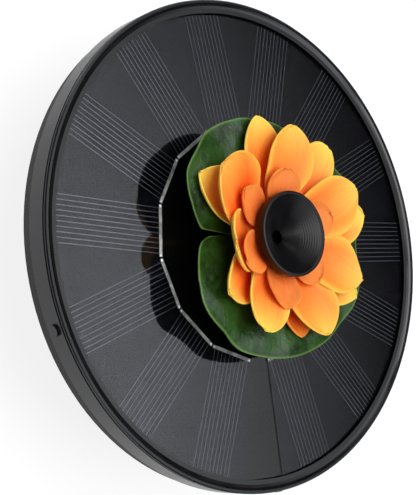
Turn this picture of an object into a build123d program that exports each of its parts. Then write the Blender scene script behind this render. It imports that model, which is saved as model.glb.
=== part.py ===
"""Floating solar fountain pump with a lotus ornament and a funnel nozzle.

Frame: origin at the centre of the strainer's flat underside, +Z up the disc's axis,
+X towards the wide gap between the first and the last solar cell. Millimetres.
Every solid is built in place and exported as its own node.
"""

import math
import os

from build123d import *

# Disc
RIM_R = 90.0
PANEL_TOP = 60.0
RIM_BOTTOM = 46.8
SIDE_TOP = 59.7
BAND_BOTTOM = 51.6
BAND_STEP = 0.4
RIM_TAPER = 1.1
WALL = 2.2
FLOOR = 1.8
LIP_TOP = 61.3
LIP_IN = 88.5
NECK_OUT = 89.25
GROOVE_TOP = 60.5
REBATE_Z = 58.0
REBATE_R = 89.35
LEDGE_IN = 83.5
NUB_ANGLES = (5, 290.5)
NUB_R = 2.1
NUB_PROUD = 0.8
RIB_COUNT = 5
RIB_T = 1.6
RIB_H = 4.0
NUB_Z = PANEL_TOP - 4.2

# Solar panel stack, from the bottom up
BOARD_R = 87.2
BOARD_Z = 57.0
BOARD_T = 1.6
CELL_COUNT = 14
CELL_PITCH = 24.95
CELL_T = 0.2
CELL_OUT = 86.2
CELL_GAP = 0.5
POLYGON_R = 43.5
TAB_W = 1.2
TAB_T = 0.16
TAB_GAP = 0.7
COVER_R = 88.4
COVER_Z = 59.1
SEAL_IN = 85.2
SEAL_EDGE = 0.15
SEAL_TOP = 61.0
CENTRE_HOLE = 8.2
CLEAR = 0.05

# Drum, boss and strainer
DRUM_R = 37.0
DRUM_IN = 35.0
DRUM_BOTTOM = 26.0
BOSS_R = 10.6
BOSS_IN = 8.4
SPIGOT_R = 34.92
SPIGOT_TOP = 31.0
STRAINER_FLOOR = 2.4
SLOT_COUNT = 30
SLOT_W = 2.2
SLOT_LOW = 5.0
SLOT_HIGH = 20.0
FLOOR_SLOT_COUNT = 12
FLOOR_SLOT_L = 14.0
FLOOR_SLOT_R = 21.0
SPONGE_R = 33.0
SPONGE_TOP = 11.5

# Pump: its shaft lies along X, and its outlet rises on the disc's axis
AXIS_Y = -7.75
AXIS_Z = 28.0
CASING_R = 14.0
CASING_IN = 12.6
CASING_BACK = -25.0
BULKHEAD_X = -4.2
VOLUTE_BACK = -3.0
VOLUTE_FRONT = 4.6
VOLUTE_R = 11.0
CAN_IN = 6.3
CAN_R = 7.2
CAN_BACK = -21.5
SHAFT_R = 1.15
SHAFT_BACK = -20.9
SHAFT_FRONT = 6.3
RUN_FIT = 0.05
MAGNET_R = 5.9
MAGNET_BACK = -18.6
MAGNET_FRONT = -4.0
STEM_R = 2.9
BUSH_R = 1.9
BUSH_LEN = 3.0
IMPELLER_R = 9.5
BLADE_COUNT = 6
STEM_FRONT = 3.0
BLADE_FRONT = 3.6
CORE_BACK = -17.0
CORE_FRONT = -8.0
POLE_COUNT = 4
POLE_W = 4.0
YOKE_IN = 10.3
COVER_PLATE_T = 2.0
INLET_R = 4.5
LUG_R = 2.6
LUG_CIRCLE = 15.6
LUG_ANGLES = (-25, 130, 240)
SCREW_R = 1.0
OUTLET_BORE = 2.8
TUBE_R = 4.5
TUBE_BOTTOM = 43.2
TUBE_TOP = 63.8
SOCKET_R = 6.2
SOCKET_TOP = 46.4
SOCKET_LOW = 42.3
POST_X = (-11.0, -19.5)

# Regulator board in the dry chamber
REG_X = 58.0
REG_Z = 51.0
REG_L = 26.0
REG_W = 18.0
REG_T = 1.2
WIRE_R = 0.6
LEAD_HOLE_R = 2.6
LEAD_HOLE_X = -23.0
LEAD_HOLE_Y = 7.0

# Nozzle tube, ornament and funnel
NOZZLE_BORE = 2.8
NOZZLE_BOTTOM = 60.6
CARRIER_R = 10.0
CARRIER_TOP = 68.2
NOZZLE_SPIGOT_R = 4.0
NOZZLE_SPIGOT_TOP = 70.0
FUNNEL_STEM_R = 5.3
FUNNEL_BOTTOM = 64.9
FUNNEL_RIM_R = 15.25
FUNNEL_RIM_IN = 13.9
FUNNEL_TOP = 81.3
FUNNEL_SKIRT = 3.0
FUNNEL_FLARE_Z = 73.4
FUNNEL_FLARE_MID = (10.4, 76.6)
FUNNEL_THROAT_R = 2.4
FUNNEL_THROAT_Z = 72.2
FUNNEL_BOWL_MID = (8.8, 77.7)
PETAL_HOLE = 6.1
LEAF_R = 45.0
LEAF_T = 1.1
NOTCH_ANGLE = 271.0
DISH_LIMIT = 100.0
PETAL_T = 1.2
PETAL_GAP = 0.2
OUTER_ANGLES = (9, 59, 104, 145, 192, 243, 308)
MIDDLE_ANGLES = (23, 71, 116, 173, 231, 279, 334)
INNER_ANGLES = (48, 112, 182, 236, 290, 352)

os.makedirs("parts", exist_ok=True)


def export(name, *solids):
    """Writes one node; several separate solids share it as a compound."""
    shape = solids[0] if len(solids) == 1 else Compound(children=list(solids))
    export_step(shape, f"parts/{name}.step")


def ring(r_out, r_in, z_low, z_high):
    """A round tube on the disc's axis."""
    height = z_high - z_low
    tube = Cylinder(r_out, height, align=(Align.CENTER, Align.CENTER, Align.MIN))
    if r_in > 0:
        tube -= Cylinder(r_in, height, align=(Align.CENTER, Align.CENTER, Align.MIN))
    return Pos(0, 0, z_low) * tube


def barrel(r_out, r_in, x_low, x_high, y=0.0, z=0.0):
    """A round tube along X; y and z are measured from the pump's shaft."""
    tube = ring(r_out, r_in, x_low, x_high)
    return Pos(0, AXIS_Y + y, AXIS_Z + z) * Rot(0, 90, 0) * tube


def turned(*points):
    """A solid turned about the disc's axis from an outline of (r, z) corners."""
    outline = make_face(Polyline(*[(r, 0, z) for r, z in points], close=True))
    return revolve(outline, axis=Axis.Z)


def post(radius, x, y, z_low, z_high):
    """An upright round bar."""
    return Pos(x, y, 0) * ring(radius, 0, z_low, z_high)


def around_shaft(angle, radius):
    """(y, z) from the shaft, at an angle about it."""
    turn = math.radians(angle)
    return radius * math.cos(turn), radius * math.sin(turn)


def cell_angle(index):
    """Direction of a cell's middle; the row is centred on -X."""
    return 180 + (index - (CELL_COUNT - 1) / 2) * CELL_PITCH


# ---- Float ----


def float_housing():
    """Hollow disc with a side wall, a drum for the pump and a boss round the outlet tube."""
    inner = RIM_R - WALL
    shell = turned(
        (DRUM_R, RIM_BOTTOM),
        (RIM_R - RIM_TAPER, RIM_BOTTOM),
        (RIM_R - BAND_STEP, BAND_BOTTOM),
        (RIM_R, BAND_BOTTOM + BAND_STEP),
        (RIM_R, SIDE_TOP),
        (REBATE_R, SIDE_TOP),
        (REBATE_R, REBATE_Z),
        (inner, REBATE_Z),
        (inner, BOARD_Z),
        (LEDGE_IN, BOARD_Z),
        (LEDGE_IN, BOARD_Z - 1.6),
        (inner - 1.5, BOARD_Z - 4.5),
        (inner - 1.5, RIM_BOTTOM + FLOOR),
        (BOSS_R, RIM_BOTTOM + FLOOR),
        (BOSS_R, BOARD_Z),
        (BOSS_IN, BOARD_Z),
        (BOSS_IN, RIM_BOTTOM),
        (DRUM_IN, RIM_BOTTOM),
        (DRUM_IN, DRUM_BOTTOM),
        (DRUM_R, DRUM_BOTTOM),
    )
    for x in POST_X:
        shell -= post(SCREW_R + 0.2, x, AXIS_Y, RIM_BOTTOM - 1, RIM_BOTTOM + FLOOR + 1)
    shell -= post(LEAD_HOLE_R, LEAD_HOLE_X, LEAD_HOLE_Y, RIM_BOTTOM - 1, RIM_BOTTOM + FLOOR + 1)
    for x in screw_places():
        pillar = post(2.4, x, 0, RIM_BOTTOM + FLOOR - 0.2, REG_Z)
        shell += pillar - post(0.9, x, 0, RIM_BOTTOM + FLOOR + 0.2, REG_Z)
    rib_long = inner - 1.3 - DRUM_R
    for angle in NUB_ANGLES:
        nub = Cylinder(NUB_R, WALL / 2 + NUB_PROUD, align=(Align.CENTER, Align.CENTER, Align.MIN))
        shell += Rot(0, 0, angle) * Pos(RIM_R - WALL / 2, 0, NUB_Z) * Rot(0, 90, 0) * nub
    for index in range(RIB_COUNT):
        rib = Box(rib_long, RIB_T, RIB_H, align=(Align.MIN, Align.CENTER, Align.MIN))
        turn = Rot(0, 0, (index + 0.5) * 360 / RIB_COUNT)
        shell += turn * Pos(DRUM_R, 0, RIM_BOTTOM + FLOOR - 0.2) * rib
    return shell


def rim_bezel():
    """Ring that holds the panel down; its raised lip overhangs a shadow groove."""
    return turned(
        (LIP_IN, REBATE_Z + CLEAR),
        (NECK_OUT, REBATE_Z + CLEAR),
        (NECK_OUT, GROOVE_TOP),
        (RIM_R, GROOVE_TOP),
        (RIM_R, LIP_TOP - 0.4),
        (RIM_R - 0.4, LIP_TOP),
        (LIP_IN + 0.3, LIP_TOP),
        (LIP_IN, LIP_TOP - 0.3),
    )


def panel_seal():
    """Bead of sealant between the panel and the bezel's lip, steeper towards the lip."""
    low = PANEL_TOP + CLEAR
    outer = LIP_IN - CLEAR
    rise = SEAL_TOP - low - SEAL_EDGE
    reach = outer - SEAL_IN
    return turned(
        (SEAL_IN, low),
        (outer, low),
        (outer, SEAL_TOP),
        (SEAL_IN + 0.8 * reach, low + SEAL_EDGE + 0.5 * rise),
        (SEAL_IN + 0.5 * reach, low + SEAL_EDGE + 0.15 * rise),
        (SEAL_IN, low + SEAL_EDGE),
    )


# ---- Solar panel ----


def solar_cell(index):
    """Wedge between two spokes, cut straight along the polygon round the centre."""
    half = math.radians(CELL_PITCH / 2)
    apothem = POLYGON_R * math.cos(half) - TAB_W / 2
    wedge = ring(CELL_OUT, 0, 0, CELL_T)
    inset = CELL_GAP / 2 / math.sin(half)
    reach = 2 * CELL_OUT
    corners = [
        (inset, 0),
        (inset + reach, reach * math.tan(half)),
        (inset + reach, -reach * math.tan(half)),
    ]
    outline = make_face(Polyline(*corners, close=True))
    wedge &= extrude(outline, CELL_T)
    wedge -= Box(2 * apothem, 4 * POLYGON_R, 4)
    return Rot(0, 0, cell_angle(index)) * Pos(0, 0, BOARD_Z + BOARD_T + CLEAR) * wedge


def tab_ribbon(index):
    """Soldered ribbon along one side of the polygon."""
    half = math.radians(CELL_PITCH / 2)
    apothem = POLYGON_R * math.cos(half)
    length = 2 * POLYGON_R * math.sin(half) - TAB_GAP
    z = BOARD_Z + BOARD_T + CELL_T + 2 * CLEAR + TAB_T / 2
    return Rot(0, 0, cell_angle(index)) * Pos(apothem, 0, z) * Box(TAB_W, length, TAB_T)


# ---- Pump ----


def pump_body():
    """Motor casing, thin rotor can, volute and upright outlet, moulded in one."""
    body = barrel(CASING_R, CASING_IN, CASING_BACK, BULKHEAD_X)
    body += barrel(CASING_R, 0, BULKHEAD_X, VOLUTE_FRONT)
    for angle in LUG_ANGLES:
        y, z = around_shaft(angle, LUG_CIRCLE)
        body += barrel(LUG_R, 0, VOLUTE_BACK, VOLUTE_FRONT, y, z)
    body += post(TUBE_R, 0, 0, AXIS_Z, SOCKET_TOP)
    body += post(SOCKET_R, 0, 0, SOCKET_LOW, SOCKET_TOP)
    for x in POST_X:
        body += post(3.0, x, AXIS_Y, AXIS_Z + CASING_IN + 0.6, RIM_BOTTOM - 0.1)
    body -= barrel(VOLUTE_R, 0, VOLUTE_BACK, VOLUTE_FRONT + 1)
    body += barrel(CAN_R, 0, CAN_BACK, BULKHEAD_X)
    body -= barrel(CAN_IN, 0, CAN_BACK + 1.2, VOLUTE_BACK + 0.1)
    body += barrel(2.6, 0, CAN_BACK, CAN_BACK + 2.4)
    body -= barrel(SHAFT_R, 0, SHAFT_BACK, CAN_BACK + 3)
    body -= post(OUTLET_BORE, 0, 0, AXIS_Z, SOCKET_TOP + 1)
    body -= post(TUBE_R + CLEAR, 0, 0, TUBE_BOTTOM - 0.1, SOCKET_TOP + 1)
    body -= barrel(13.05, 11.75, VOLUTE_FRONT - 0.8, VOLUTE_FRONT + 1)
    for angle in LUG_ANGLES:
        y, z = around_shaft(angle, LUG_CIRCLE)
        body -= barrel(SCREW_R, 0, VOLUTE_BACK + 1, VOLUTE_FRONT + 1, y, z)
    for x in POST_X:
        body -= post(SCREW_R, x, AXIS_Y, AXIS_Z + CASING_IN + 1.6, RIM_BOTTOM + 1)
    return body


def stator_core():
    """Laminated yoke with four poles reaching to the can."""
    core = barrel(CASING_IN - 0.1, YOKE_IN, CORE_BACK, CORE_FRONT)
    length = CORE_FRONT - CORE_BACK
    reach = YOKE_IN + 0.5
    for index in range(POLE_COUNT):
        pole = Box(length, reach, POLE_W, align=(Align.MIN, Align.MIN, Align.CENTER))
        pole = Rot(index * 360 / POLE_COUNT, 0, 0) * pole
        core += Pos(CORE_BACK, AXIS_Y, AXIS_Z) * pole
    return core - barrel(CAN_R + 0.15, 0, CORE_BACK - 1, CORE_FRONT + 1)


def stator_coil(index):
    """Copper winding wrapped round one pole."""
    mid = (CAN_R + YOKE_IN) / 2 + 0.1
    thick = 1.7
    length = CORE_FRONT - CORE_BACK
    window = 0.15
    outer = Box(length + 2.8, thick, POLE_W + 2.8)
    outer -= Box(length + window, 2 * thick, POLE_W + window)
    place = Rot(index * 360 / POLE_COUNT, 0, 0) * Pos(0, mid, 0) * outer
    return Pos((CORE_BACK + CORE_FRONT) / 2, AXIS_Y, AXIS_Z) * place


def impeller():
    """Open impeller with a stem that carries the magnet, bored for the bushes and the shaft."""
    disc = barrel(IMPELLER_R, 0, -2.3, -1.3)
    stem = barrel(STEM_R, 0, MAGNET_BACK, STEM_FRONT)
    wheel = disc + stem
    blade_long = IMPELLER_R - STEM_R
    for index in range(BLADE_COUNT):
        blade = Box(BLADE_FRONT + 1.5, blade_long, 1.0, align=(Align.MIN, Align.MIN, Align.CENTER))
        blade = Rot(index * 360 / BLADE_COUNT, 0, 0) * Pos(-1.5, STEM_R - 0.3, 1.2) * blade
        wheel += Pos(0, AXIS_Y, AXIS_Z) * blade
    wheel -= barrel(SHAFT_R + 0.25, 0, MAGNET_BACK - 1, STEM_FRONT + 1)
    wheel -= barrel(BUSH_R, 0, MAGNET_BACK - 1, MAGNET_BACK + BUSH_LEN)
    return wheel - barrel(BUSH_R, 0, STEM_FRONT - BUSH_LEN, STEM_FRONT + 1)


def rotor_bush(x_low):
    """Bush pressed into the stem, running on the shaft."""
    return barrel(BUSH_R - 0.01, SHAFT_R + RUN_FIT, x_low, x_low + BUSH_LEN)


def volute_cover():
    """Front plate with the inlet eye, an inlet collar and a three-armed shaft support."""
    front = VOLUTE_FRONT + 0.1
    back = front + COVER_PLATE_T
    plate = barrel(CASING_R, INLET_R, front, back)
    plate += barrel(INLET_R + 1.5, INLET_R, front, back + 4)
    plate += barrel(2.2, 0, front + 0.3, back + 0.4)
    for index in range(3):
        arm = Box(1.6, INLET_R + 0.6, 1.0, align=(Align.MIN, Align.MIN, Align.CENTER))
        arm = Rot(90 + index * 120, 0, 0) * arm
        plate += Pos(front + 0.3, AXIS_Y, AXIS_Z) * arm
    for angle in LUG_ANGLES:
        y, z = around_shaft(angle, LUG_CIRCLE)
        plate += barrel(LUG_R, 0, front, back, y, z)
    for angle in LUG_ANGLES:
        y, z = around_shaft(angle, LUG_CIRCLE)
        plate -= barrel(SCREW_R + 0.15, 0, front - 1, back + 1, y, z)
    return plate - barrel(SHAFT_R, 0, front - 1, SHAFT_FRONT)


def pan_screw(length):
    """Pan-head screw, head upwards, its seat at z 0."""
    head = Cylinder(SCREW_R + 0.9, 1.4, align=(Align.CENTER, Align.CENTER, Align.MIN))
    shank = Cylinder(SCREW_R - 0.1, length, align=(Align.CENTER, Align.CENTER, Align.MAX))
    slot = Box(2 * SCREW_R + 0.8, 0.5, 0.8)
    cross = slot + Rot(0, 0, 90) * slot
    return head + shank - Pos(0, 0, 1.4) * cross


def cover_screw(angle):
    """Screw through one lug of the volute cover."""
    y, z = around_shaft(angle, LUG_CIRCLE)
    seat = VOLUTE_FRONT + 0.1 + COVER_PLATE_T + CLEAR
    return Pos(seat, AXIS_Y + y, AXIS_Z + z) * Rot(0, 90, 0) * pan_screw(5.6)


# ---- Regulator board ----


def screw_places():
    """Where the two board screws stand along X."""
    return REG_X - REG_L / 2 + 3, REG_X + REG_L / 2 - 3


def regulator_board():
    """Small circuit board on two pillars in the dry chamber."""
    sit = (Align.CENTER, Align.CENTER, Align.MIN)
    board = Pos(REG_X, 0, REG_Z + CLEAR) * Box(REG_L, REG_W, REG_T, align=sit)
    for x in screw_places():
        board -= post(1.2, x, 0, REG_Z - 1, REG_Z + 3)
    return board


def blocking_diode():
    """Surface-mounted diode that stops the panel draining the pump."""
    sit = (Align.CENTER, Align.CENTER, Align.MIN)
    return Pos(REG_X + 3, 4.5, REG_Z + REG_T + 2 * CLEAR) * Box(5.2, 2.7, 1.3, align=sit)


def board_screws():
    """Two small screws into the pillars."""
    screw = scale(pan_screw(2.6), 0.85)
    return [Pos(x, 0, REG_Z + REG_T + 2 * CLEAR) * screw for x in screw_places()]


# ---- Leads ----


def lead(points, start_way, end_way):
    """Insulated wire along a smooth route, leaving and arriving in the given directions."""
    path = Spline(*points, tangents=[start_way, end_way])
    start = Plane(origin=path @ 0, z_dir=path % 0)
    return sweep(start * Circle(WIRE_R), path=path)


def panel_leads():
    """Two wires from the regulator board up to the back of the panel board."""
    x = REG_X - 6
    low = REG_Z + REG_T + 2 * CLEAR
    high = BOARD_Z - CLEAR
    middle = (low + high) / 2
    return [
        lead([(x, y, low), (x - 1, 1.3 * y, middle), (x - 2, 1.6 * y, high)], (0, 0, 1), (0, 0, 1))
        for y in (-2.5, 2.5)
    ]


def pump_leads():
    """Two wires from the regulator board, round the boss, down through the deck to the motor."""
    start_x = REG_X - REG_L / 2 - 0.3
    z = REG_Z + REG_T / 2
    back = CASING_BACK - CLEAR
    return [
        lead(
            [
                (start_x, 5 + side, z),
                (30, 15 + side, 53.0),
                (0, 19 + side, 53.0),
                (LEAD_HOLE_X + 3 + side, LEAD_HOLE_Y + 6, 52.0),
                (LEAD_HOLE_X + side, LEAD_HOLE_Y, RIM_BOTTOM + FLOOR),
                (LEAD_HOLE_X + side, LEAD_HOLE_Y - 0.4, RIM_BOTTOM - 2),
                (back - 3.5, AXIS_Y + 8 - side, AXIS_Z + 12),
                (back, AXIS_Y + 5 - side, AXIS_Z + 7),
            ],
            (-1, 0.3, 0),
            (1, 0, 0),
        )
        for side in (-0.9, 0.9)
    ]


# ---- Strainer ----


def strainer_screen():
    """Slotted ring with a spigot that pushes into the drum."""
    inner = DRUM_IN - 0.4
    screen = turned(
        (inner, STRAINER_FLOOR + CLEAR),
        (DRUM_R, STRAINER_FLOOR + CLEAR),
        (DRUM_R, DRUM_BOTTOM - 0.1),
        (SPIGOT_R, DRUM_BOTTOM - 0.1),
        (SPIGOT_R, SPIGOT_TOP),
        (SPIGOT_R - 1.6, SPIGOT_TOP),
        (SPIGOT_R - 1.6, DRUM_BOTTOM - 2),
        (inner, DRUM_BOTTOM - 3),
    )
    for index in range(SLOT_COUNT):
        slot = Box(8, SLOT_W, SLOT_HIGH - SLOT_LOW, align=(Align.CENTER, Align.CENTER, Align.MIN))
        screen -= Rot(0, 0, index * 360 / SLOT_COUNT) * Pos(DRUM_R - 1, 0, SLOT_LOW) * slot
    return screen


def strainer_base():
    """Flat bottom plate with radial slots and a lip that sits inside the screen."""
    lip = DRUM_IN - 0.4 - CLEAR
    plate = turned(
        (0, 0),
        (DRUM_R - 1.2, 0),
        (DRUM_R, 1.2),
        (DRUM_R, STRAINER_FLOOR),
        (lip, STRAINER_FLOOR),
        (lip, STRAINER_FLOOR + 2),
        (lip - 1.4, STRAINER_FLOOR + 2),
        (lip - 1.4, STRAINER_FLOOR),
        (0, STRAINER_FLOOR),
    )
    for index in range(FLOOR_SLOT_COUNT):
        slot = Box(FLOOR_SLOT_L, SLOT_W, 3 * STRAINER_FLOOR)
        plate -= Rot(0, 0, index * 360 / FLOOR_SLOT_COUNT) * Pos(FLOOR_SLOT_R, 0, 0) * slot
    return plate


# ---- Nozzle and ornament ----


def nozzle_tube():
    """Socket on the outlet tube, carrier plate for the ornament and spigot for the nozzle."""
    return turned(
        (TUBE_R + RUN_FIT, NOZZLE_BOTTOM),
        (7.6, NOZZLE_BOTTOM),
        (7.6, CARRIER_TOP - 2.6),
        (CARRIER_R, CARRIER_TOP - 1.2),
        (CARRIER_R, CARRIER_TOP),
        (PETAL_HOLE, CARRIER_TOP),
        (PETAL_HOLE, 64.6),
        (NOZZLE_SPIGOT_R, 64.6),
        (NOZZLE_SPIGOT_R, NOZZLE_SPIGOT_TOP),
        (NOZZLE_BORE, NOZZLE_SPIGOT_TOP),
        (NOZZLE_BORE, TUBE_TOP + 0.2),
        (TUBE_R + RUN_FIT, TUBE_TOP + 0.2),
    )


def dish(r_end, z_start, z_mid, z_end, thick):
    """A thin bowl turned about the axis: an arc from the hole's edge to r_end."""
    r_mid = (PETAL_HOLE + r_end) / 2
    low = ThreePointArc((PETAL_HOLE, 0, z_start), (r_mid, 0, z_mid), (r_end, 0, z_end))
    high = ThreePointArc(
        (PETAL_HOLE, 0, z_start + thick), (r_mid, 0, z_mid + thick), (r_end, 0, z_end + thick)
    )
    outline = make_face([low, high, Line(low @ 0, high @ 0), Line(low @ 1, high @ 1)])
    return revolve(outline, axis=Axis.Z)


def petal_outline(reach, width):
    """Pointed oval from the centre outwards along X."""
    tip = (reach, 0)
    root = (2.0, 0)
    left = ThreePointArc(root, (reach * 0.58, width / 2), tip)
    right = ThreePointArc(root, (reach * 0.58, -width / 2), tip)
    return make_face([left, right])


def petal_whorl(angles, reach, width, heights, thick):
    """Ring of petals on one dish, joined round the hole; heights are at the hole, middle and tip."""
    bowl = dish(reach + 1, *heights, thick)
    cutter = ring(PETAL_HOLE + 3, 0, FUNNEL_BOTTOM, DISH_LIMIT)
    for angle in angles:
        petal = extrude(Pos(0, 0, FUNNEL_BOTTOM) * petal_outline(reach, width), DISH_LIMIT - FUNNEL_BOTTOM)
        cutter += Rot(0, 0, angle) * petal
    return bowl & cutter


def leaf_pad():
    """Shallow lotus leaf with one notch between two rounded lobes."""
    leaf = dish(LEAF_R, CARRIER_TOP + PETAL_GAP, 69.6, 72.8, LEAF_T)
    far = LEAF_R + 3
    corners = [(24, 0), (33, 1.5), (40, 7), (far, 20), (far, -20), (40, -7), (33, -1.5)]
    outline = make_face(Polyline(*corners, close=True))
    notch = extrude(Pos(0, 0, FUNNEL_BOTTOM) * outline, DISH_LIMIT - FUNNEL_BOTTOM)
    return leaf - Rot(0, 0, NOTCH_ANGLE) * notch


def funnel_nozzle():
    """Push-on funnel: stem over the spigot, throat, flared body and a short upright rim."""
    skirt = FUNNEL_TOP - FUNNEL_SKIRT
    socket = NOZZLE_SPIGOT_R + RUN_FIT
    shoulder = NOZZLE_SPIGOT_TOP + 0.2
    flare_r, flare_z = FUNNEL_FLARE_MID
    bowl_r, bowl_z = FUNNEL_BOWL_MID
    corners = [
        (socket, 0, FUNNEL_BOTTOM),
        (FUNNEL_STEM_R, 0, FUNNEL_BOTTOM),
        (FUNNEL_STEM_R, 0, FUNNEL_FLARE_Z),
        (FUNNEL_RIM_R, 0, skirt),
        (FUNNEL_RIM_R, 0, FUNNEL_TOP),
        (FUNNEL_RIM_IN, 0, FUNNEL_TOP),
        (FUNNEL_THROAT_R, 0, FUNNEL_THROAT_Z),
        (FUNNEL_THROAT_R, 0, shoulder),
        (socket, 0, shoulder),
    ]
    outline = [
        Line(corners[0], corners[1]),
        Line(corners[1], corners[2]),
        ThreePointArc(corners[2], (flare_r, 0, flare_z), corners[3]),
        Line(corners[3], corners[4]),
        Line(corners[4], corners[5]),
        ThreePointArc(corners[5], (bowl_r, 0, bowl_z), corners[6]),
        Line(corners[6], corners[7]),
        Line(corners[7], corners[8]),
        Line(corners[8], corners[0]),
    ]
    return revolve(make_face(outline), axis=Axis.Z)


export("float_housing", float_housing())
export("rim_bezel", rim_bezel())
export("panel_seal", panel_seal())
export("panel_board", ring(BOARD_R, CENTRE_HOLE, BOARD_Z + CLEAR, BOARD_Z + BOARD_T))
for cell in range(CELL_COUNT):
    export(f"solar_cell_{cell + 1:02d}", solar_cell(cell))
export("tab_ribbons", *[tab_ribbon(index) for index in range(CELL_COUNT)])
export("panel_cover", ring(COVER_R, CENTRE_HOLE, COVER_Z, PANEL_TOP))
export("panel_grommet", ring(CENTRE_HOLE - CLEAR, TUBE_R + RUN_FIT, BOARD_Z + 0.2, PANEL_TOP + 0.2))
export("deck_grommet", ring(BOSS_IN - CLEAR, TUBE_R + RUN_FIT, RIM_BOTTOM, RIM_BOTTOM + 3.4))
export("outlet_tube", ring(TUBE_R, OUTLET_BORE, TUBE_BOTTOM, TUBE_TOP))

export("regulator_board", regulator_board())
export("blocking_diode", blocking_diode())
export("board_screws", *board_screws())
export("panel_leads", *panel_leads())
export("pump_leads", *pump_leads())

export("pump_body", pump_body())
export("stator_core", stator_core())
export("stator_coils", *[stator_coil(index) for index in range(POLE_COUNT)])
export("potting", barrel(CASING_IN - 0.1, 0, CASING_BACK + 1.6, CAN_BACK - 0.2))
export("motor_cap", barrel(CASING_IN - 0.05, 0, CASING_BACK, CASING_BACK + 1.5))
export("shaft", barrel(SHAFT_R - 0.01, 0, SHAFT_BACK + 0.1, SHAFT_FRONT - 0.1))
export("rotor_magnet", barrel(MAGNET_R, STEM_R + 0.01, MAGNET_BACK + 0.2, MAGNET_FRONT))
export("impeller", impeller())
export("rotor_bushes", rotor_bush(MAGNET_BACK), rotor_bush(STEM_FRONT - BUSH_LEN))
export(
    "thrust_washers",
    barrel(1.8, SHAFT_R, MAGNET_BACK - 0.4, MAGNET_BACK - 0.1),
    barrel(1.8, SHAFT_R, STEM_FRONT + 0.2, STEM_FRONT + 0.5),
)
export("volute_cover", volute_cover())
export("cover_o_ring", barrel(13.0, 11.8, VOLUTE_FRONT - 0.75, VOLUTE_FRONT + 0.05))
export("cover_screws", *[cover_screw(angle) for angle in LUG_ANGLES])
export(
    "pump_screws",
    *[Pos(x, AXIS_Y, RIM_BOTTOM + FLOOR + CLEAR) * pan_screw(5.5) for x in POST_X],
)
export("strainer_screen", strainer_screen())
export("strainer_base", strainer_base())
export("filter_sponge", ring(SPONGE_R, 0, STRAINER_FLOOR + 0.1, SPONGE_TOP))

export("nozzle_tube", nozzle_tube())
export("leaf_pad", leaf_pad())
export("petals_outer", petal_whorl(OUTER_ANGLES, 43.5, 21, (69.7, 71.6, 75.6), PETAL_T))
export("petals_middle", petal_whorl(MIDDLE_ANGLES, 40.5, 23, (71.1, 74.6, 82.6), PETAL_T))
export("petals_inner", petal_whorl(INNER_ANGLES, 25.5, 15, (72.5, 74.6, 79.2), PETAL_T - PETAL_GAP))
export("funnel_nozzle", funnel_nozzle())
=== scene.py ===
import math

import bmesh
import bpy
from mathutils import Matrix, Vector


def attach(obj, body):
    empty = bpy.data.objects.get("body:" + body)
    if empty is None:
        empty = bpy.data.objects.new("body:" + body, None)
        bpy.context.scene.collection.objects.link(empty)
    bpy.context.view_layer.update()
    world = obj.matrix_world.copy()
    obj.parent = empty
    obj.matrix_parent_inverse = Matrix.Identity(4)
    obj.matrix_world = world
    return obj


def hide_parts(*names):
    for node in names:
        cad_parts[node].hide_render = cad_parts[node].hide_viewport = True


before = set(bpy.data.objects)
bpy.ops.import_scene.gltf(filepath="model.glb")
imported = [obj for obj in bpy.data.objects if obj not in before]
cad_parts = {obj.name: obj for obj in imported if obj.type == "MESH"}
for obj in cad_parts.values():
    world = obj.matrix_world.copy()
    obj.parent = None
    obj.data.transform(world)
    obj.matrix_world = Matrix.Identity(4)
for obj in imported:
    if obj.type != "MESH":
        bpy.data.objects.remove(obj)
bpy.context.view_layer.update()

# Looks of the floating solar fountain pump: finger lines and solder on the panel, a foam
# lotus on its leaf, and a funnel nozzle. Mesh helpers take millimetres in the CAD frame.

MM = 0.001

# Housing and panel, the same as the CAD model's, in millimetres and degrees
BAND_BOTTOM = 51.6
CELL_COUNT = 14
CELL_PITCH = 24.95
CELL_OUT = 86.2
CELL_FACE_Z = 58.86
POLYGON_R = 43.5
POLYGON_FACING = 180.0
RIBBON_TOP_Z = 59.06

# Printed lines and the filling between the cells
FINGERS_PER_CELL = 10
FINGER_PITCH = 1.75
FINGER_W = 0.32
FINGER_T = 0.02
FINGER_START = 0.75
FINGER_END_R = 84.7
GAP_FILL_W = 0.5
GAP_FILL_T = 0.2
GAP_FILL_START = 0.8

# Solder on the ribbons
SOLDER_INSET = 0.9
SOLDER_R = 0.52
SOLDER_R_SPREAD = 0.16
SOLDER_T = 0.085
SOLDER_SUNK = 0.05
SOLDER_NARROWING = 0.8
SOLDER_WOBBLE = 0.12
SOLDER_SIDES = 14
SOLDER_RINGS = ((1.0, 0.0), (0.85, 0.55), (0.5, 0.9))

# Leaf, one foam sheet for each whorl, and the hole through them for the nozzle tube
HOLE_R = 6.5
LEAF_R = 44.0
LEAF_T = 1.1
LEAF_ROOT_Z = 69.5
LEAF_RISE_LOW_SIDE = 2.9
LEAF_RISE_HIGH_SIDE = 3.7
LEAF_WAVE = 1.25
LEAF_FLUTE = 0.5
LEAF_PUCKER = 0.32
LEAF_DROOP = 1.2
NOTCH_AT = 270.0
PETAL_T = 1.2
PETAL_WIDEST = 0.58
PETAL_WAVE = 0.34
HUB_R = 10.5
HUB_T = 1.0
OUTER_TOP = 70.9
MIDDLE_TOP = 72.3
INNER_TOP = 73.4

# Funnel
FUNNEL_BOTTOM = 64.9
FUNNEL_BORE_R = 4.05
FUNNEL_BORE_TOP = 70.2
FUNNEL_STEM_R = 5.3
FUNNEL_FLARE_Z = 73.4
FUNNEL_FLARE_MID = (10.4, 76.6)
FUNNEL_RIM_R = 15.25
FUNNEL_RIM_IN = 13.9
FUNNEL_TOP = 81.3
FUNNEL_SKIRT_Z = 78.3
FUNNEL_THROAT_R = 2.4
FUNNEL_THROAT_Z = 72.2
FUNNEL_BOWL_MID = (8.8, 77.7)
RIDGE_COUNT = 16
RIDGE_DEPTH = 0.045

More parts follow.
